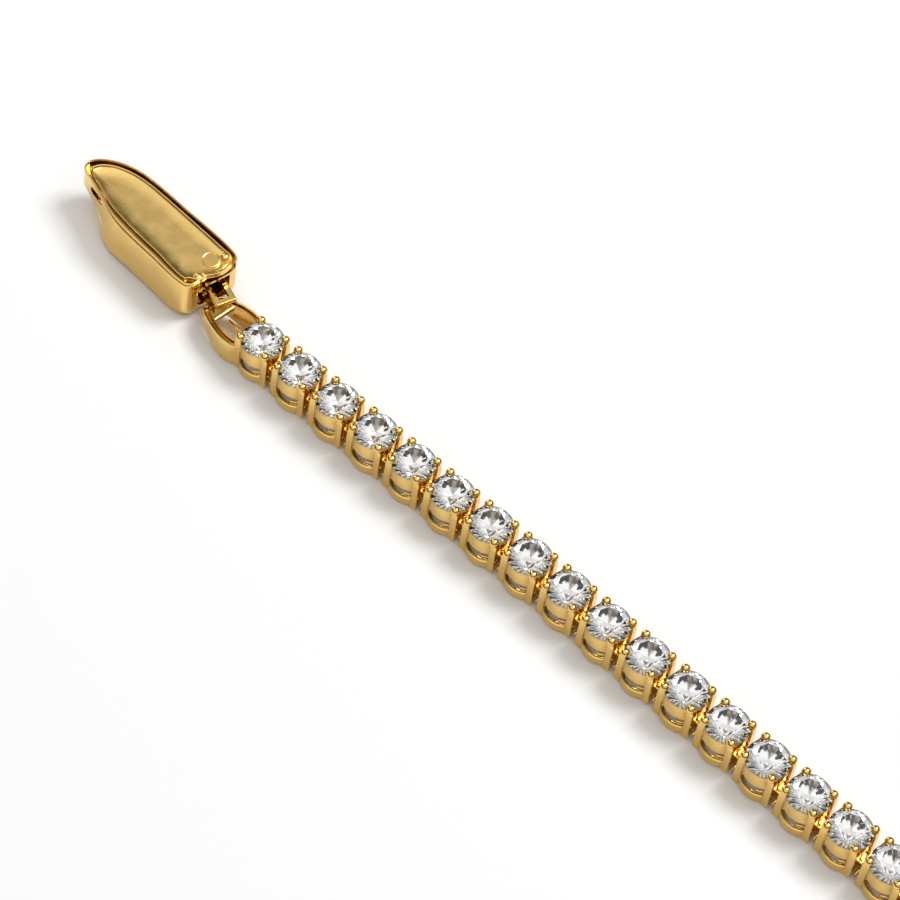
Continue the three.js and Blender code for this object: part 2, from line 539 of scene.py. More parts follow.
class Nodes:
    """Short ways to lay out a node tree."""

    def __init__(self, tree: bpy.types.NodeTree) -> None:
        """Takes the tree to work in."""
        self.tree = tree

    def add(
        self, kind: str, given: dict[str | int, object] | None = None, **values: object
    ) -> bpy.types.Node:
        """Adds a node.

        Args:
            kind: Its type.
            given: Values of its input sockets, by name or number.
            **values: Its properties.

        Returns:
            The node.
        """
        made = self.tree.nodes.new(kind)
        for key, value in values.items():
            setattr(made, key, value)
        for key, value in (given or {}).items():
            made.inputs[key].default_value = value
        return made

    def join(self, source: bpy.types.NodeSocket, target: bpy.types.NodeSocket) -> None:
        """Links two sockets."""
        self.tree.links.new(source, target)


def wear_group() -> bpy.types.NodeTree:
    """Builds the shared surface of handled gold: cloudy polish, hairlines and a faint grain.

    Returns:
        The node group, with Roughness, Tone and Height as its outputs.
    """
    group = bpy.data.node_groups.new("handled_gold", "ShaderNodeTree")
    sides = group.interface
    for name, value in (("Roughness", 0.2), ("Cloud Scale", 900.0), ("Grain Scale", 9000.0)):
        socket = sides.new_socket(name, in_out="INPUT", socket_type="NodeSocketFloat")
        socket.default_value = value
    for name in ("Roughness", "Tone", "Height"):
        sides.new_socket(name, in_out="OUTPUT", socket_type="NodeSocketFloat")
    nodes = Nodes(group)
    given = nodes.add("NodeGroupInput")
    result = nodes.add("NodeGroupOutput")
    place = nodes.add("ShaderNodeTexCoord")
    cloud = nodes.add("ShaderNodeTexNoise", {"Detail": 3.0})
    grain = nodes.add("ShaderNodeTexNoise", {"Detail": 2.0})
    stretch = nodes.add("ShaderNodeMapping", {"Scale": (1.0, 1.0, 7.0)})
    hair = nodes.add("ShaderNodeTexNoise", {"Scale": 2600.0, "Detail": 1.0})
    nodes.join(place.outputs["Object"], cloud.inputs["Vector"])
    nodes.join(given.outputs["Cloud Scale"], cloud.inputs["Scale"])
    nodes.join(place.outputs["Object"], grain.inputs["Vector"])
    nodes.join(given.outputs["Grain Scale"], grain.inputs["Scale"])
    nodes.join(place.outputs["Object"], stretch.inputs["Vector"])
    nodes.join(stretch.outputs["Vector"], hair.inputs["Vector"])
    limits = {"From Min": 0.3, "From Max": 0.7, "To Min": 0.8, "To Max": 1.3}
    spread = nodes.add("ShaderNodeMapRange", limits)
    nodes.join(cloud.outputs["Fac"], spread.inputs["Value"])
    rough = nodes.add("ShaderNodeMath", operation="MULTIPLY")
    nodes.join(spread.outputs["Result"], rough.inputs[0])
    nodes.join(given.outputs["Roughness"], rough.inputs[1])
    mixed = nodes.add("ShaderNodeMath", operation="ADD")
    nodes.join(grain.outputs["Fac"], mixed.inputs[0])
    nodes.join(hair.outputs["Fac"], mixed.inputs[1])
    nodes.join(rough.outputs[0], result.inputs["Roughness"])
    nodes.join(cloud.outputs["Fac"], result.inputs["Tone"])
    nodes.join(mixed.outputs[0], result.inputs["Height"])
    return group


@dataclass(frozen=True)
class GoldFinish:
    """A finish of the gold."""

    name: str
    deep: Colour
    pale: Colour
    roughness: float
    grain: float

    def material(self, wear: bpy.types.NodeTree) -> bpy.types.Material:
        """Builds the material.

        Args:
            wear: The shared surface group.

        Returns:
            The material.
        """
        look = bpy.data.materials.new(self.name)
        look.use_nodes = True
        nodes = Nodes(look.node_tree)
        shader = look.node_tree.nodes["Principled BSDF"]
        shader.inputs["Metallic"].default_value = 1.0
        surface = nodes.add("ShaderNodeGroup", node_tree=wear)
        surface.inputs["Roughness"].default_value = self.roughness
        tone = nodes.add("ShaderNodeMix", {6: self.deep, 7: self.pale}, data_type="RGBA")
        bump = nodes.add("ShaderNodeBump", {"Strength": self.grain, "Distance": GRAIN_HEIGHT})
        nodes.join(surface.outputs["Tone"], tone.inputs["Factor"])
        nodes.join(tone.outputs[2], shader.inputs["Base Color"])
        nodes.join(surface.outputs["Roughness"], shader.inputs["Roughness"])
        nodes.join(surface.outputs["Height"], bump.inputs["Height"])
        nodes.join(bump.outputs["Normal"], shader.inputs["Normal"])
        return look


@dataclass(frozen=True)
class StoneFinish:
    """The clear cut stone."""

    name: str
    ior: float
    tint: Colour

    def material(self) -> bpy.types.Material:
        """Builds the material.

        Returns:
            The material.
        """
        look = bpy.data.materials.new(self.name)
        look.use_nodes = True
        nodes = Nodes(look.node_tree)
        shader = look.node_tree.nodes["Principled BSDF"]
        shader.inputs["Metallic"].default_value = 0.0
        shader.inputs["Transmission Weight"].default_value = 1.0
        shader.inputs["IOR"].default_value = self.ior
        place = nodes.add("ShaderNodeTexCoord")
        haze = nodes.add("ShaderNodeTexNoise", {"Scale": 700.0})
        white = (1.0, 1.0, 1.0, 1.0)
        clear = nodes.add("ShaderNodeMix", {6: self.tint, 7: white}, data_type="RGBA")
        polish = nodes.add("ShaderNodeMapRange", {"To Min": 0.0, "To Max": 0.02})
        nodes.join(place.outputs["Object"], haze.inputs["Vector"])
        nodes.join(haze.outputs["Fac"], clear.inputs["Factor"])
        nodes.join(clear.outputs[2], shader.inputs["Base Color"])
        nodes.join(haze.outputs["Fac"], polish.inputs["Value"])
        nodes.join(polish.outputs["Result"], shader.inputs["Roughness"])
        return look


class Finishes:
    """The materials of the bracelet."""

    def __init__(self) -> None:
        """Builds the shared surface and the three materials."""
        wear = wear_group()
        self.polished = GoldFinish(
            "polished_yellow_gold", (0.83, 0.53, 0.14, 1), (0.96, 0.67, 0.24, 1), 0.15, 0.25
        ).material(wear)
        self.satin = GoldFinish(
            "satin_yellow_gold", (0.88, 0.59, 0.19, 1), (0.98, 0.69, 0.26, 1), 0.27, 0.4
        ).material(wear)
        self.stone = StoneFinish("clear_brilliant", 2.15, (0.95, 0.97, 1.0, 1)).material()


# The run of links

FITTED_LINK = 9

@dataclass
class Place:
    """Where a link stands, in millimetres and degrees."""

    x: float
    y: float
    turn: float

    def matrix(self) -> Matrix:
        """The place in the row frame, in metres, for a mesh in millimetres."""
        spin = Matrix.Rotation(math.radians(self.turn), 4, "Z")
        return Matrix.Scale(MM, 4) @ Matrix.Translation((self.x, self.y, 0)) @ spin


@dataclass
class Run:
    """The line of links, on the floor."""

    pitch: float = 3.4
    count: int = 42
    seen: int = 17
    bend: tuple[float, ...] = (-34.7, -2.6, 0.7, 2.4)
    lead: tuple[float, ...] = (2.0, 6.0, 12.0)
    turn_step: float = 7.2
    fitted: Flat = (9.11, -11.19)
    middle: Flat = MIDDLE
    clasp_at: Flat = (5.43, -1.19)
    clasp_turn: float = -3.3

    def heading(self, link: int) -> float:
        """Heading of a link: a fitted curve where it is seen, and an even bend past that.

        Args:
            link: Its number, counted from the clasp.

        Returns:
            The heading in degrees.
        """
        s = (min(link, self.seen) - FITTED_LINK) / (self.seen - FITTED_LINK)
        seen = sum(c * s**power for power, c in enumerate(self.bend))
        past = link - self.seen
        if past <= 0:
            return seen
        return seen + self.lead[min(past, 3) - 1] + max(past - 3, 0) * self.turn_step

    def step(self, link: int) -> Vector:
        """The way from one link's middle to the next one's."""
        mean = math.radians((self.heading(link) + self.heading(link + 1)) / 2)
        return Vector((self.pitch * math.cos(mean), self.pitch * math.sin(mean)))

    def places(self) -> list[Place]:
        """The place of every link, from the clasp on.

        Returns:
            The places, worked out both ways from the fitted link.
        """
        at = {FITTED_LINK: Vector(self.fitted) - Vector(self.middle)}
        for link in range(FITTED_LINK, self.count):
            at[link + 1] = at[link] + self.step(link)
        for link in range(FITTED_LINK, 1, -1):
            at[link - 1] = at[link] - self.step(link - 1)
        return [Place(at[i].x, at[i].y, self.heading(i)) for i in range(1, self.count + 1)]

    def clasp(self, first: Place) -> Place:
        """The place of the clasp, whose nose points away from the first link.

        Args:
            first: The place of the first link.

        Returns:
            The place of the clasp.
        """
        turn = math.radians(first.turn + 180)
        along, across = self.clasp_at
        return Place(
            first.x + math.cos(turn) * along - math.sin(turn) * across,
            first.y + math.sin(turn) * along + math.cos(turn) * across,
            first.turn + 180 + self.clasp_turn,
        )


@dataclass
class Brilliant:
    """The round brilliant cut of every stone."""

    radius: float = 1.47
    girdle_low: float = 2.94
    girdle_high: float = 3.0
    table_z: float = 3.48
    table_r: float = 0.84
    culet_z: float = 1.66
    star_share: float = 0.52
    lower_share: float = 0.22
    sides: int = 8
    phase: float = 0.0

    def cut(self, blank: Blank, point: Vector, normal: Vector) -> None:
        """Grinds one facet: what lies beyond the plane goes, and the cut is closed.

        Args:
            blank: The stone under work.
            point: A point of the facet.
            normal: Its outward direction.
        """
        bm = blank.bm
        bmesh.ops.bisect_plane(
            bm,
            geom=[*bm.verts, *bm.edges, *bm.faces],
            dist=1e-4,
            plane_co=point,
            plane_no=normal,
            clear_outer=True,
        )
        bmesh.ops.remove_doubles(bm, verts=bm.verts, dist=2e-4)
        bare = [e for e in bm.edges if not e.link_faces]
        bmesh.ops.delete(bm, geom=bare, context="EDGES")
        rim = [e for e in bm.edges if e.is_boundary]
        if len(rim) > 2:
            bmesh.ops.contextual_create(bm, geom=rim)

    def ring(self, blank: Blank, spots: Sequence[Sequence[Vector]]) -> None:
        """Grinds one facet on three points, and again all round the stone.

        Args:
            blank: The stone under work.
            spots: Three points of each facet of the set.
        """
        for a, b, c in spots:
            normal = (b - a).cross(c - a).normalized()
            if normal.dot((a + b + c) / 3 - Vector((0, 0, self.girdle_low))) < 0:
                normal.negate()
            self.cut(blank, a, normal)

    def polar(self, radius: float, angle: float, z: float) -> Vector:
        """A point at an angle counted in facets of the table."""
        turn = self.phase + angle * 2 * math.pi / self.sides
        return Vector((radius * math.cos(turn), radius * math.sin(turn), z))

    def mesh(self) -> bpy.types.Mesh:
        """Cuts the stone from a round blank.

        Returns:
            Its mesh, in millimetres.
        """
        blank = Blank()
        height = self.table_z - self.culet_z
        bmesh.ops.create_cone(
            blank.bm,
            cap_ends=True,
            segments=64,
            radius1=self.radius,
            radius2=self.radius,
            depth=height,
        )
        middle = (self.table_z + self.culet_z) / 2
        bmesh.ops.translate(blank.bm, vec=(0, 0, middle), verts=blank.bm.verts)
        polar, high, low = self.polar, self.girdle_high, self.girdle_low
        rise = self.table_z - high
        star_r = self.radius - (self.radius - self.table_r) * self.star_share * 0.86
        star_z = high + rise * (1 - self.star_share)
        lower_z = low - (low - self.culet_z) * (1 - self.lower_share)
        lower_r = self.radius * self.lower_share * 0.93
        kites, stars, uppers, mains, halves = [], [], [], [], []
        for k in range(self.sides):
            tip = polar(self.radius, k, high)
            corner = polar(self.table_r, k, self.table_z)
            side = polar(1, k + 0.25, 0) - polar(1, k - 0.25, 0)
            kites.append((tip, corner, tip + Vector((side.x, side.y, 0))))
            after = polar(self.table_r, k + 1, self.table_z)
            valley = polar(star_r, k + 0.5, star_z)
            stars.append((corner, after, valley))
            for way in (-0.5, 0.5):
                meet = polar(star_r, k + way, star_z)
                end = polar(self.radius, k + way, high)
                uppers.append((tip, meet, end))
                deep = polar(lower_r, k + way, lower_z)
                halves.append((polar(self.radius, k, low), deep, polar(self.radius, k + way, low)))
            foot = polar(self.radius, k, low)
            culet = Vector((0, 0, self.culet_z))
            mains.append((foot, culet, foot + Vector((side.x, side.y, 0))))
        for facets in (mains, halves, kites, uppers, stars):
            self.ring(blank, facets)
        blank.closed()
        made = blank.mesh("brilliant")
        made.shade_flat()
        return made


@dataclass
class Setting:
    """The open four-prong setting of one stone, with its hinge to the next."""

    pitch: float = 3.4
    seat_r: float = 1.5
    band_r: float = 1.455
    wall_r: float = 1.24
    band_low: float = 1.66
    rim_z: float = 2.93
    post: Flat = (1.2, 0.9)
    post_half: float = 0.27
    tip: Spot = (1.12, 1.0, 3.14)
    tip_r: float = 0.32
    rail_out: float = 1.47
    rail_in: float = 1.17
    rail_z: Flat = (0.1, 0.8)
    pin_x: float = -1.17
    pin_z: float = 0.75
    strap_half: float = 0.25
    knuckle_x: float = 1.7
    knuckle_z: float = 0.6

    def band(self) -> Blank:
        """The gallery band, with a fine rim under the stone and a cone for its seat.

        Returns:
            The band as a ring.
        """
        r, s, w, low, top = self.band_r, self.seat_r, self.wall_r, self.band_low, self.rim_z
        profile = [
            (w + 0.05, low),
            (r - 0.05, low),
            (r - 0.01, low + 0.03),
            (r, low + 0.08),
            (r + 0.005, top - 0.22),
            (r - 0.035, top - 0.19),
            (r - 0.035, top - 0.16),
            (s - 0.015, top - 0.13),
            (s, top - 0.09),
            (s - 0.005, top - 0.02),
            (s - 0.03, top),
            (s - 0.055, top - 0.015),
            (w, top - 0.25),
            (w, low + 0.05),
        ]
        return Blank.turned(profile, 64)

    def prong(self) -> Blank:
        """The near post on the far side of the link, which leans to its ball at the top.

        Returns:
            The post of the first quarter.
        """
        x, y = self.post
        h = self.post_half
        tx, ty, tz = self.tip
        rings = []
        for z, half, dx, dy, radius in (
            (0.0, h - 0.07, 0.0, 0.0, 0.06),
            (0.03, h - 0.025, 0.0, 0.0, 0.07),
            (0.09, h, 0.0, 0.0, 0.08),
            (2.5, h, 0.0, 0.0, 0.08),
            (2.72, h - 0.01, 0.0, 0.0, 0.09),
            (2.86, h - 0.035, -0.02, 0.01, 0.1),
            (2.95, h - 0.07, -0.04, 0.03, 0.12),
            (tz - 0.08, self.tip_r - 0.12, tx - x, ty - y, 0.12),
        ):
            low = (x + dx - half, y + dy - half)
            high = (x + dx + half, y + dy + half)
            rings.append(level(rounded_box(low, high, radius, 4), z))
        return Blank.lofted(rings)

    def rail(self) -> Blank:
        """The bowed lower rail between the two posts of one side.

        Returns:
            The rail of the far side.
        """
        a, b = self.rail_in, self.rail_out
        low, top = self.rail_z
        profile = [
            (a + 0.04, low),
            (b - 0.1, low),
            (b - 0.03, low + 0.04),
            (b, low + 0.13),
            (b, top - 0.1),
            (b - 0.025, top - 0.035),
            (b - 0.08, top),
            (a + 0.06, top),
            (a + 0.015, top - 0.02),
            (a, top - 0.06),
            (a, low + 0.04),
        ]
        return Blank.turned(profile, 26, 222, 96)

    def strap(self) -> list[tuple[Join, Blank]]:
        """The strap round the next link's pin, and the pin ends that show between links.

        Returns:
            The steps in order.
        """
        cx = self.pitch + self.pin_x
        h, z = self.strap_half, self.pin_z
        outer = rounded_box((1.08, z - 0.66), (cx + 0.67, z + 0.66), 0.3, 6)
        inner = rounded_box((cx - 0.43, z - 0.43), (cx + 0.43, z + 0.43), 0.2, 6)
        loop, hole = looped(outer, inner, (-h, h), 1.0)
        neck = Blank.block((1.08, -h, z), (1.42, h, self.band_low + 0.08), 0.04)
        kx, kz = self.knuckle_x, self.knuckle_z
        pin = Blank.rod((kx, -0.92, kz), (kx, 0.92, kz), 0.13, 0.08)
        bar = Blank.rod((kx - 0.02, -0.6, 1.5), (kx - 0.02, 0.6, 1.5), 0.09, 0.05, 12)
        arm = Blank.block((1.2, -0.6, 1.42), (kx, -0.36, 1.58), 0.04)
        return [
            (Join.ADD, loop),
            (Join.ADD, neck),
            (Join.TAKE, hole),
            (Join.ADD, pin),
            (Join.ADD, arm.twin(MIRROR_Y)),
            (Join.ADD, arm),
            (Join.ADD, bar),
        ]

    def seat(self) -> Blank:
        """What the stone takes out of the prongs and the band.

        Returns:
            A body of the stone's outline.
        """
        profile = [
            (0.0, 1.6), (1.47, 2.93), (1.482, 2.94), (1.482, 3.01), (0.85, 3.5), (0.0, 3.5),
        ]
        blank = Blank()
        bm = blank.bm
        verts = [bm.verts.new((r, 0, z)) for r, z in profile]
        edges = [bm.edges.new((a, b)) for a, b in zip(verts, verts[1:])]
        return blank.spun([*verts, *edges], 2 * math.pi, 48, True)

    def work(self, pin: bool) -> list[tuple[Join, Blank]]:
        """Everything that is soldered to the band or cut from it.

        Args:
            pin: Whether the link has a cross pin at the clasp side.

        Returns:
            The steps in order.
        """
        steps: list[tuple[Join, Blank]] = []
        prong, rail = self.prong(), self.rail()
        for flip in ALL_FOUR:
            steps.append((Join.ADD, prong.twin(flip)))
        for flip in BOTH_SIDES:
            steps.append((Join.ADD, rail.twin(flip)))
        steps += self.strap()
        if pin:
            x, z = self.pin_x, self.pin_z
            steps.append((Join.ADD, Blank.rod((x, -0.8, z), (x, 0.8, z), 0.14, 0.04)))
        steps.append((Join.TAKE, self.seat()))
        tx, ty, tz = self.tip
        ball = Blank.ball((tx, ty, tz), self.tip_r, 0.9)
        for flip in ALL_FOUR:
            steps.append((Join.ADD, ball.twin(flip)))
        bead = Blank.ball((-0.86, -1.02, 1.36), 0.1, 1.0, 12)
        wire = Blank.turned(circle((1.22, 1.08), 0.08, 8), 10, -70, 26)
        steps += [(Join.ADD, bead), (Join.ADD, wire)]
        return steps

    def mesh(self) -> bpy.types.Mesh:
        """One whole link in millimetres."""
        return fused("setting", self.band(), self.work(True))


@dataclass
class Horseshoe:
    """The two-walled horseshoe on the first link, with its cross bar and its nose bar."""

    turn: float = -4.5
    top: float = 2.2
    half: float = 0.28
    outer: Sequence[Flat] = (
        (0.9, 1.05), (1.5, 1.5), (2.4, 1.62), (3.3, 1.51), (4.1, 1.29), (4.8, 1.02), (5.14, 0.8),
    )
    foot: Sequence[float] = (0.15, 0.12, 0.14, 0.25, 0.5, 0.8, 1.0)
    drop: Sequence[float] = (0.0, 0.0, 0.0, 0.02, 0.1, 0.18, 0.2)
    bar_x: float = 3.85
    bar_half: float = 0.17
    nose: Flat = (4.95, 1.48)
    nose_r: float = 0.19
    steps: int = 30

    def section(self, foot: float, half: float, top: float) -> Outline:
        """The channel section of an arm: outer wall, groove and thin inner wall.

        Args:
            foot: Height of its underside.
            half: Half of its width.
            top: Height of its top.

        Returns:
            Points across and up, the outer side first.
        """
        h, w = half, half / 0.22
        return [
            (h - 0.14 * w, foot),
            (h - 0.05 * w, foot + 0.06),
            (h, foot + 0.22),
            (h, top - 0.16),
            (h - 0.03 * w, top - 0.06),
            (h - 0.09 * w, top),
            (h - 0.15 * w, top - 0.03),
            (h - 0.18 * w, top - 0.1),
            (h - 0.19 * w, top - 0.42),
            (h - 0.29 * w, top - 0.42),
            (h - 0.3 * w, top - 0.12),
            (h - 0.33 * w, top - 0.04),
            (h - 0.37 * w, top - 0.02),
            (h - 0.42 * w, top - 0.06),
            (-h, top - 0.14),
            (-h, foot + 0.2),
            (-h + 0.08 * w, foot + 0.02),
        ]

    def arm(self) -> Blank:
        """One arm of the horseshoe.

        Returns:
            The arm of the far side, before the horseshoe is turned.
        """
        count = len(self.outer) - 1
        rings = []
        steps = self.steps
        for k in range(steps + 1):
            s = k / steps * count
            i = min(int(s), count - 1)
            along, tangent = self.spot(i, s - i)
            across = Vector((-tangent.y, tangent.x)).normalized()
            foot = self.foot[i] + (self.foot[i + 1] - self.foot[i]) * (s - i)
            ease = min(1.0, (steps - k) / 3 * 0.75 + 0.25)
            half = self.half * (0.55 + 0.45 * math.sin(ease * math.pi / 2))
            drop = self.drop[i] + (self.drop[i + 1] - self.drop[i]) * (s - i)
            top = self.top - drop - 0.1 * (1 - ease)
            rings.append(
                [
                    Vector((*(along + across * (u - self.half)), z))
                    for u, z in self.section(foot, half, top)
                ]
            )
        return Blank.lofted(rings)

    def spot(self, i: int, share: float) -> tuple[Vector, Vector]:
        """A point of the outer line, on a smooth curve through its own points.

        Args:
            i: The point before it.
            share: How far it lies on the way to the next one.

        Returns:
            The point and the direction there.
        """
        last = len(self.outer) - 1
        p = [Vector(self.outer[min(max(i + k, 0), last)]) for k in (-1, 0, 1, 2)]
        if i == 0:
            p[0] = p[1] * 2 - p[2]
        if i == last - 1:
            p[3] = p[2] * 2 - p[1]
        t = share
        point = 0.5 * (
            2 * p[1]
            + (p[2] - p[0]) * t
            + (2 * p[0] - 5 * p[1] + 4 * p[2] - p[3]) * t**2
            + (3 * p[1] - p[0] - 3 * p[2] + p[3]) * t**3
        )
        way = 0.5 * (
            (p[2] - p[0])
            + 2 * (2 * p[0] - 5 * p[1] + 4 * p[2] - p[3]) * t
            + 3 * (3 * p[1] - p[0] - 3 * p[2] + p[3]) * t**2
        )
        return point, way.normalized()

    def work(self) -> list[tuple[Join, Blank]]:
        """The steps that add the horseshoe to the first link.

        Returns:
            The steps in order.
        """
        turn = Matrix.Rotation(math.radians(180 + self.turn), 4, "Z")
        arm = self.arm()
        x, half = self.bar_x, self.bar_half
        bar = Blank.block((x - half, -1.0, self.top - 0.55), (x + half, 1.0, self.top - 0.14), 0.12)
        nx, nz = self.nose
        nose = Blank.rod((nx, -0.78, nz), (nx, 0.78, nz), self.nose_r, 0.03)
        rib = Blank.block((1.4, -0.62, 0.5), (self.bar_x, -0.42, 0.8), 0.07)
        return [
            (Join.ADD, body.moved(turn))
            for body in (arm.twin(Matrix.Identity(4)), arm.twin(MIRROR_Y), bar, nose, rib)
        ]

    def mesh(self, setting: Setting) -> bpy.types.Mesh:
        """The first setting and its horseshoe as one body in millimetres."""
        return fused("end_setting", setting.band(), [*setting.work(False), *self.work()])


# The clasp


@dataclass
class Case:
    """The boat-shaped box of the clasp, nose towards +X, near side towards +Y."""

    height: float = 3.7
    foot: float = 0.5
    stern: float = 1.05
    lug: float = 1.8
    pocket_z: float = 2.98
    rim: float = 0.2
    trim: float = 0.02
    bow: Flat = (9.5, 1.1)
    rake: Flat = (0.7, 2.6)
    hull_spine: Flat = (1.5, 9.4)
    rim_spine: Flat = (1.5, 10.6)
    each: int = 5
    mouth_y: Flat = (-1.24, 1.25)
    mouth_z: Flat = (0.62, 2.74)
    mouth_corner: float = 0.75
    mouth_inside: float = 0.26
    pin: Flat = (1.1, 1.48)
    rim_line: Sequence[Flat] = (
        (0.42, 1.2), (0.5, 1.95), (0.95, 2.3), (4, 2.34), (6.4, 2.32), (7.7, 2.22), (8.5, 2.06),
        (9.3, 1.78), (10.1, 1.5), (11.2, 1.15), (12.1, 0.87), (12.65, 0.66), (12.9, 0.35),
        (12.93, -0.02), (12.78, -0.42), (12.5, -0.8), (12.05, -1.2), (11.45, -1.6), (10.7, -1.92),
        (9.8, -2.16), (8.4, -2.3), (5.5, -2.34), (0.9, -2.34), (0.25, -2.08), (0.04, -1.4),
    )
    hull_line: Sequence[Flat] = (
        (0.42, 1.2), (0.5, 1.95), (0.95, 2.3), (4, 2.34), (6.4, 2.34), (7.5, 2.34), (8.2, 2.32),
        (8.8, 2.18), (9.3, 1.98), (9.8, 1.7), (10.25, 1.38), (10.55, 1.05), (10.72, 0.65),
        (10.8, 0.2), (10.78, -0.25), (10.68, -0.65), (10.45, -1.05), (10.15, -1.4), (9.75, -1.75),
        (9.2, -2.05), (8.4, -2.28), (5.5, -2.34), (0.9, -2.34), (0.25, -2.08), (0.04, -1.4),
    )
    far_rim: float = 0.17
    near_rim: Sequence[Flat] = (
        (1.0, 0.44), (3.0, 0.5), (5.0, 0.55), (7.0, 0.59), (8.0, 0.53), (9.1, 0.34), (10.5, 0.23),
        (13.0, 0.17),
    )
    slot_at: Flat = (10.65, 3.03)
    slot_reach: float = 0.88
    slot_half: float = 0.28
    slot_tilt: float = -17.0

    def rim_width(self, x: float, y: float) -> float:
        """Width of the rim, which is wider on the near side than on the far one.

        Args:
            x: Distance along the clasp.
            y: Distance across it.

        Returns:
            The width.
        """
        marks = self.near_rim
        near = marks[0][1]
        for (x0, w0), (x1, w1) in zip(marks, marks[1:]):
            if x >= x0:
                near = w0 + (w1 - w0) * min((x - x0) / (x1 - x0), 1.0)
        share = min(max(y / 1.2 + 0.5, 0.0), 1.0)
        return self.far_rim + (near - self.far_rim) * share

    def outline(self, z: float) -> list[Vector]:
        """The outside of the case, round at the foot and stepped under the bow.

        Args:
            z: The height.

        Returns:
            The ring of points at that height.
        """
        low = curve_through(self.hull_line, self.each)
        high = curve_through(self.rim_line, self.each)
        low = drawn_in(low, lambda x, y: self.trim + self.rounding(x, z), self.hull_spine)
        lip = 0.1 * min(max((self.lug + 0.22 - z) / 0.3, 0.0), 1.0) ** 2
        bow_x, bow_over = self.bow
        high = drawn_in(
            high, lambda x, y: self.trim + lip * share_of(x, bow_x, bow_over), self.rim_spine
        )
        step = min(max((z - self.lug + 0.2) / 0.24, 0.0), 1.0)
        slope = share_of(z, *self.rake)
        line: Outline = []
        for (a, b), (c, d) in zip(low, high):
            bow = share_of(c, bow_x, bow_over)
            share = bow * step * step * (3 - 2 * step) + (1 - bow) * slope
            line.append((a + (c - a) * share, b + (d - b) * share))
        return level(line, z)

    def rounding(self, x: float, z: float) -> float:
        """How far the round foot draws the wall in, which is more at the stern.

        Args:
            x: Distance along the clasp.
            z: The height.

        Returns:
            The distance.
        """
        radius = self.foot + (self.stern - self.foot) * min(max((1.7 - x) / 1.0, 0.0), 1.0)
        if z >= radius:
            return 0.0
        return radius - math.sqrt(radius**2 - (radius - z) ** 2)

    def shell(self) -> Blank:
        """The outside, the rim with its fine step, and the pocket under the plate.

        Returns:
            The body before anything is cut.
        """
        heights = [0.0, 0.015, 0.05, 0.11, 0.2, 0.32, 0.46, 0.62, 0.8, 1.05, 1.35, 1.6, 1.65, 1.7]
        heights += [1.74, 1.78, 1.82, 1.88, 1.96, 2.05, 2.3, 2.6, 2.9, 3.2, self.height - self.rim]
        rings = [self.outline(z) for z in heights]
        top = curve_through(self.rim_line, self.each)
        top = drawn_in(top, lambda x, y: self.trim, self.rim_spine)
        for share, down in (
            (0.015, 0.14), (0.05, 0.115), (0.09, 0.11), (0.12, 0.125), (0.16, 0.115),
            (0.22, 0.06), (0.3, 0.022), (0.42, 0.004), (0.56, 0.0), (0.72, 0.008), (0.86, 0.04),
            (0.95, 0.1), (1.0, 0.2),
        ):
            ring = drawn_in(top, lambda x, y: share * self.rim_width(x, y), self.rim_spine)
            rings.append(level(ring, self.height - down))
        inner = drawn_in(top, self.rim_width, self.rim_spine)
        rings.append(level(inner, self.pocket_z))
        return Blank.lofted(rings)

    def mouth(self) -> Blank:
        """The opening in the rear wall.

        Returns:
            A body that is wider inside, with a large corner low on the near side.
        """
        far, near = self.mouth_y
        low, high = self.mouth_z
        corner, inside = self.mouth_corner, self.mouth_inside
        rings = []
        for x, wide, deep in (
            (-0.5, 0.05, 0),
            (0.3, 0.03, 0),
            (0.5, 0.0, 0),
            (0.7, 0.0, inside),
            (2.3, 0.0, inside),
        ):
            line = rounded_box((far - wide - deep, low - wide), (near + wide, high + wide), 0.16, 6)
            ring = []
            for y, z in line:
                lift = max(0.0, 0.62 - (z - low))
                lift *= min(max((y - near + corner) / corner, 0.0), 1.0) ** 2
                ring.append(Vector((x, y, z + (0.0 if deep else lift))))
            rings.append(ring)
        return Blank.lofted(rings)

    def eyelet(self) -> Blank:
        """The slanted slot, which opens on the near side of the bow alone.

        Returns:
            The body that cuts it.
        """
        x, z = self.slot_at
        reach, half = self.slot_reach, self.slot_half
        line = rounded_box((-reach, -half), (reach, half), half - 0.005, 8)
        tilt = Matrix.Rotation(math.radians(-self.slot_tilt), 4, "Y")
        ring = [tilt @ Vector((u, 0, v)) + Vector((x, 0, z)) for u, v in line]
        return Blank.lofted([[p + Vector((0, y, 0)) for p in ring] for y in (0.2, 3.0)])

    def mesh(self) -> bpy.types.Mesh:
        """The whole case in millimetres.

        Returns:
            The mesh.
        """
        cavity = Blank.block((2.0, -1.6, 0.75), (9.5, 1.6, 2.65), 0.1)
        stern = Blank.block((-1.0, -1.8, self.pocket_z), (1.1, 0.72, 5.0), 0.04)
        notch = Blank.block((-1.0, 0.66, 2.3), (1.1, 1.14, 5.0), 0.1)
        x, z = self.pin
        pin = Blank.rod((x, -1.7, z), (x, 1.45, z), 0.14, 0.02)
        taken = (stern, notch, self.mouth(), cavity, self.eyelet())
        work = [(Join.TAKE, tool) for tool in taken]
        return fused("case", self.shell(), [*work, (Join.ADD, pin)])


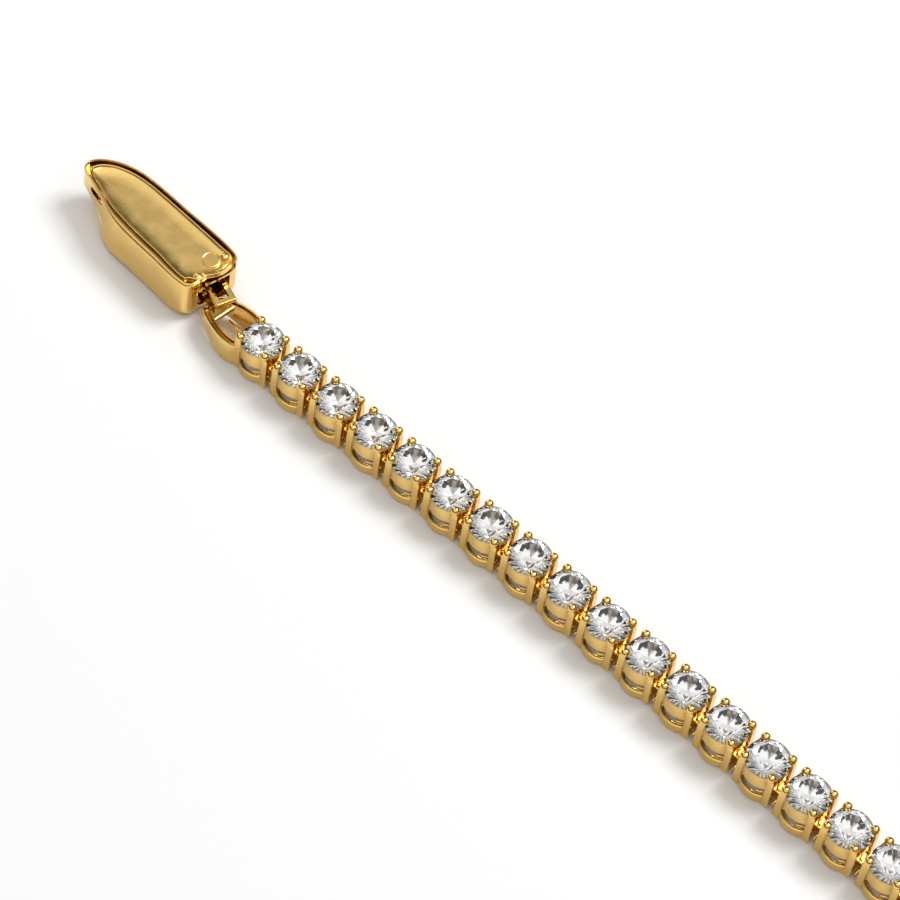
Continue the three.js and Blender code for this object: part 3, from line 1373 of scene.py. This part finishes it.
@dataclass
class Plate:
    """The dished plate in the case, with its lip, two bosses and round seal."""

    under: float = 3.2
    lip: float = 3.6
    floor: float = 3.34
    each: int = 5
    spine: Flat = (2.4, 10.2)
    line: Sequence[Flat] = (
        (1.15, 1.5), (1.3, 1.76), (4, 1.7), (6.9, 1.63), (8.0, 1.54), (9.1, 1.42), (10.5, 1.04),
        (11.4, 0.8), (12.1, 0.58), (12.4, 0.3), (12.42, 0.0), (12.26, -0.42), (11.9, -0.84),
        (11.35, -1.24), (10.6, -1.58), (9.7, -1.82), (8.4, -1.97), (5.5, -2.02), (1.5, -2.02),
        (0.62, -1.98), (0.22, -1.6), (0.08, -1.0), (0.12, -0.45), (0.3, 0.05), (0.52, 0.45),
        (0.52, 0.95), (0.78, 1.25),
    )
    bosses: Sequence[Flat] = ((0.86, 0.9), (0.98, -1.62))
    boss_z: float = 3.36
    boss_r: float = 0.36
    boss_squash: float = 0.93
    seal: Flat = (1.42, -0.78)
    seal_r: float = 0.64
    lip_width: float = 0.25
    slope_from: float = 7.5
    slope_over: float = 3.0
    slope_more: float = 0.3
    slope_limit: float = 0.72

    def mesh(self) -> bpy.types.Mesh:
        """The whole plate in millimetres.

        Returns:
            The mesh.
        """
        edge = curve_through(self.line, self.each)
        rings = []
        top, floor = self.lip, self.floor
        for by, z in (
            (0.04, self.under),
            (0.0, self.under + 0.04),
            (0.0, top - 0.1),
            (0.03, top - 0.03),
            (0.08, top),
            (0.13, top - 0.01),
            (0.17, top - 0.05),
            (0.2, top - 0.1),
            (0.24, top - 0.135),
            (0.31, top - 0.165),
            (0.42, floor + 0.065),
            (0.56, floor + 0.035),
            (0.72, floor + 0.015),
            (0.9, floor + 0.004),
            (1.05, floor),
        ):
            rings.append(
                level(drawn_in(edge, lambda x, y: by * self.reach(x, y, by), self.spine), z)
            )
        seal_profile = (
            (0.0, -0.1), (0.0, 0.09), (0.02, 0.125), (0.06, 0.14), (0.1, 0.125), (0.12, 0.09),
            (0.13, 0.065),
        )
        seal = [
            level(circle(self.seal, self.seal_r - inward, 48), floor + up)
            for inward, up in seal_profile
        ]
        work = [(Join.ADD, Blank.lofted(seal))]
        for x, y in self.bosses:
            boss = Blank.ball((x, y, self.boss_z), self.boss_r, self.boss_squash, 24)
            work.append((Join.ADD, boss))
        return fused("plate", Blank.lofted(rings), work)

    def reach(self, x: float, y: float, by: float) -> float:
        """How much wider the slope of the dish is at the nose, and how much narrower astern.

        Args:
            x: Distance along the clasp.
            y: Distance across it.
            by: How far the ring lies inside the edge; the lip itself keeps its width.

        Returns:
            The factor, small enough that no ring crosses the spine.
        """
        if by < self.lip_width:
            return 1.0
        start, end = self.spine
        away = math.hypot(max(x - end, start - x, 0.0), y)
        if x < start:
            return min(1.0, away / start)
        wider = self.slope_more * share_of(x, self.slope_from, self.slope_over)
        return min(1.0 + wider, self.slope_limit * away)


@dataclass
class Bail:
    """The flat loop that comes out of the mouth askew, with the strap under its near bar."""

    at: Flat = (-1.4, 0.3)
    turn: float = -16.0
    length: float = 2.75
    half: float = 0.78
    far: float = 0.4
    near: float = 0.22
    z: Flat = (2.1, 2.45)
    strap_x: Flat = (0.1, 3.1)
    strap_y: float = 0.5
    strap_half: float = 0.2
    strap_z: Flat = (0.84, 2.16)
    wall: float = 0.22

    def mesh(self) -> bpy.types.Mesh:
        """The whole bail in millimetres, in the frame of the case.

        Returns:
            The mesh.
        """
        z0, z1 = self.z
        body = Blank.block((0.0, -self.half, z0), (self.length, self.half, z1), 0.12, 4)
        window = Blank.block(
            (self.far, self.far - self.half, z0 - 1),
            (self.length - self.far, self.half - self.near, z1 + 1),
            0.08,
        )
        y, h, w = self.strap_y, self.strap_half, self.wall
        (x0, x1), (low, high) = self.strap_x, self.strap_z
        outer = rounded_box((x0, low), (x1, high), 0.3, 6)
        inner = rounded_box((x0 + w, low + w), (x1 - w, high - w), 0.16, 6)
        loop, hole = looped(outer, inner, (-y - h, -y + h), 3.0)
        place = Matrix.Translation((*self.at, 0)) @ Matrix.Rotation(math.radians(self.turn), 4, "Z")
        work = [(Join.TAKE, window), (Join.ADD, loop), (Join.TAKE, hole)]
        return fused("bail", body.moved(place), [(join, tool.moved(place)) for join, tool in work])


@dataclass
class Tongue:
    """The plain end piece that goes into the case."""

    low: float = 0.3
    high: float = 1.9
    pin_x: float = 2.23
    pin_z: float = 0.75
    pin_reach: float = 0.7

    def mesh(self) -> bpy.types.Mesh:
        """The whole tongue in millimetres.

        Returns:
            The mesh.
        """
        line = [(3.2, -0.95), (7.4, -0.95), (8.6, -0.6), (8.6, 0.6), (7.4, 0.95), (3.2, 0.95)]
        body = Blank.lofted([level(line, self.low), level(line, self.high)])
        body.softened(body.bm.edges[:], 0.14, 4)
        x, z, reach = self.pin_x, self.pin_z, self.pin_reach
        pin = Blank.rod((x, -reach, z), (x, reach, z), 0.13, 0.03)
        arm = Blank.block((1.85, 0.55, 0.32), (3.5, 0.85, 1.2), 0.09)
        work = [(Join.ADD, part) for part in (pin, arm.twin(MIRROR_Y), arm)]
        return fused("tongue", body, work)


# The studio


@dataclass
class Studio:
    """The pale floor, the soft light and the camera at the photograph's angle."""

    elevation: float = 0.9510080
    roll: float = 0.1811138
    distance: float = 246.56
    focal: float = 148.88
    middle: Flat = MIDDLE

    def camera(self) -> None:
        """Sets the camera as the photograph was taken."""
        lens = bpy.data.cameras.new("camera")
        lens.lens = self.focal
        lens.sensor_width = 36.0
        lens.sensor_fit = "HORIZONTAL"
        lens.clip_start, lens.clip_end = 0.01, 10.0
        eye = shown("camera", lens)
        e, roll = self.elevation, self.roll
        back = Vector((0, -math.cos(e), math.sin(e)))
        right, up = Vector((1, 0, 0)), Vector((0, math.sin(e), math.cos(e)))
        across = right * math.cos(roll) + up * math.sin(roll)
        upright = up * math.cos(roll) - right * math.sin(roll)
        turn = Matrix((across, upright, back)).transposed().to_4x4()
        aim = Vector((-self.middle[0], -self.middle[1], 0)) * MM
        eye.matrix_world = Matrix.Translation(aim + back * self.distance * MM) @ turn
        bpy.context.scene.camera = eye

    def floor(self) -> None:
        """Lays the near-white surface."""
        bm = bmesh.new()
        bmesh.ops.create_grid(bm, x_segments=1, y_segments=1, size=3.0)
        bmesh.ops.translate(bm, vec=(0, 0, -0.00001), verts=bm.verts)
        mesh = bpy.data.meshes.new("floor")
        bm.to_mesh(mesh)
        bm.free()
        ground = shown("floor", mesh)
        look = bpy.data.materials.new("pale_paper")
        look.use_nodes = True
        shader = look.node_tree.nodes["Principled BSDF"]
        shader.inputs["Base Color"].default_value = (0.935, 0.945, 0.962, 1)
        shader.inputs["Roughness"].default_value = 0.9
        shader.inputs["Specular IOR Level"].default_value = 0.1
        mesh.materials.append(look)

    def lamp(
        self, name: str, at: Sequence[float], size: Flat, power: float, colour: Sequence[float]
    ) -> None:
        """Hangs one soft box that faces the bracelet.

        Args:
            name: Its name.
            at: Its place in metres.
            size: Its width and height in metres.
            power: Its power in watts.
            colour: Its colour.
        """
        light = bpy.data.lights.new(name, "AREA")
        light.shape = "RECTANGLE"
        light.size, light.size_y = size
        light.energy = power
        light.color = colour
        lamp = shown(name, light)
        lamp.location = at
        lamp.rotation_euler = (-Vector(at)).to_track_quat("-Z", "Y").to_euler()

    def world(self) -> None:
        """Fills the room with a soft light that is bright overhead and dim at the horizon."""
        world = bpy.data.worlds.new("room")
        bpy.context.scene.world = world
        world.use_nodes = True
        nodes = Nodes(world.node_tree)
        shade = world.node_tree.nodes["Background"]
        place = nodes.add("ShaderNodeTexCoord")
        split = nodes.add("ShaderNodeSeparateXYZ")
        ramp = nodes.add("ShaderNodeValToRGB")
        ramp.color_ramp.interpolation = "EASE"
        stops = ramp.color_ramp.elements
        stops[0].position, stops[0].color = 0.0, (0.05, 0.045, 0.04, 1)
        stops[1].position, stops[1].color = 1.0, (1.0, 0.99, 0.97, 1)
        for at, value in ((0.35, 0.08), (0.6, 0.26), (0.72, 0.5), (0.86, 0.78)):
            stop = stops.new(at)
            stop.color = (value, value * 0.99, value * 0.975, 1)
        lean = nodes.add("ShaderNodeMath", {1: -0.15}, operation="MULTIPLY_ADD")
        nodes.join(place.outputs["Generated"], split.inputs[0])
        nodes.join(split.outputs["Y"], lean.inputs[0])
        nodes.join(split.outputs["Z"], lean.inputs[2])
        nodes.join(lean.outputs[0], ramp.inputs["Fac"])
        path = nodes.add("ShaderNodeLightPath")
        seen = nodes.add("ShaderNodeMix", {7: (0.93, 0.93, 0.92, 1)}, data_type="RGBA")
        nodes.join(path.outputs["Is Camera Ray"], seen.inputs["Factor"])
        nodes.join(ramp.outputs["Color"], seen.inputs[6])
        nodes.join(seen.outputs[2], shade.inputs["Color"])
        shade.inputs["Strength"].default_value = 1.17

    def build(self) -> None:
        """Sets up the whole studio."""
        self.floor()
        self.world()
        self.lamp("key_box", (0.24, 0.14, 0.48), (0.22, 0.22), 1.7, (1.0, 1.0, 0.985))
        self.lamp("edge_box", (-0.30, 0.34, 0.20), (0.20, 0.12), 0.35, (1.0, 0.99, 0.97))
        self.camera()
        bpy.context.scene.view_settings.view_transform = "Standard"
        bpy.context.scene.view_settings.look = "None"


@dataclass
class Bracelet:
    """The whole bracelet on its run of links."""

    looks: Finishes
    run: Run = field(default_factory=Run)
    setting: Setting = field(default_factory=Setting)
    stone: Brilliant = field(default_factory=Brilliant)

    def links(self) -> None:
        """Builds the horseshoe link, the other links and every stone."""
        places = self.run.places()
        gold, clear = self.looks.polished, self.looks.stone
        end = Horseshoe().mesh(self.setting)
        link = self.setting.mesh()
        gem = self.stone.mesh()
        placed("end_setting", end, places[0].matrix(), gold, Slot.POLISHED, ["end_link"])
        for number, place in enumerate(places, 1):
            if number > 1:
                name = f"setting_{number:02d}"
                node = f"stone_link_{number:02d}"
                placed(name, link, place.matrix(), gold, Slot.POLISHED, [node])
            placed(f"stone_{number:02d}", gem, place.matrix(), clear, Slot.STONE)

    def clasp(self) -> None:
        """Builds the case, its plate, the bail and the tongue."""
        places = self.run.places()
        at = self.run.clasp(places[0]).matrix()
        gold, satin = self.looks.polished, self.looks.satin
        placed("case", Case().mesh(), at, gold, Slot.POLISHED, ["clasp_case"])
        placed("case_plate", Plate().mesh(), at, satin, Slot.SATIN, ["clasp_plate"])
        placed("bail", Bail().mesh(), at, gold, Slot.POLISHED, ["clasp_bail"])
        last = places[-1].matrix()
        placed("tongue", Tongue().mesh(), last, gold, Slot.POLISHED, ["clasp_tongue"])


def main() -> None:
    """Builds the bracelet and the studio."""
    logging.basicConfig(level=logging.INFO, format="%(name)s %(message)s")
    bracelet = Bracelet(Finishes())
    bracelet.clasp()
    bracelet.links()
    Studio().build()


if __name__ == "__main__":
    main()
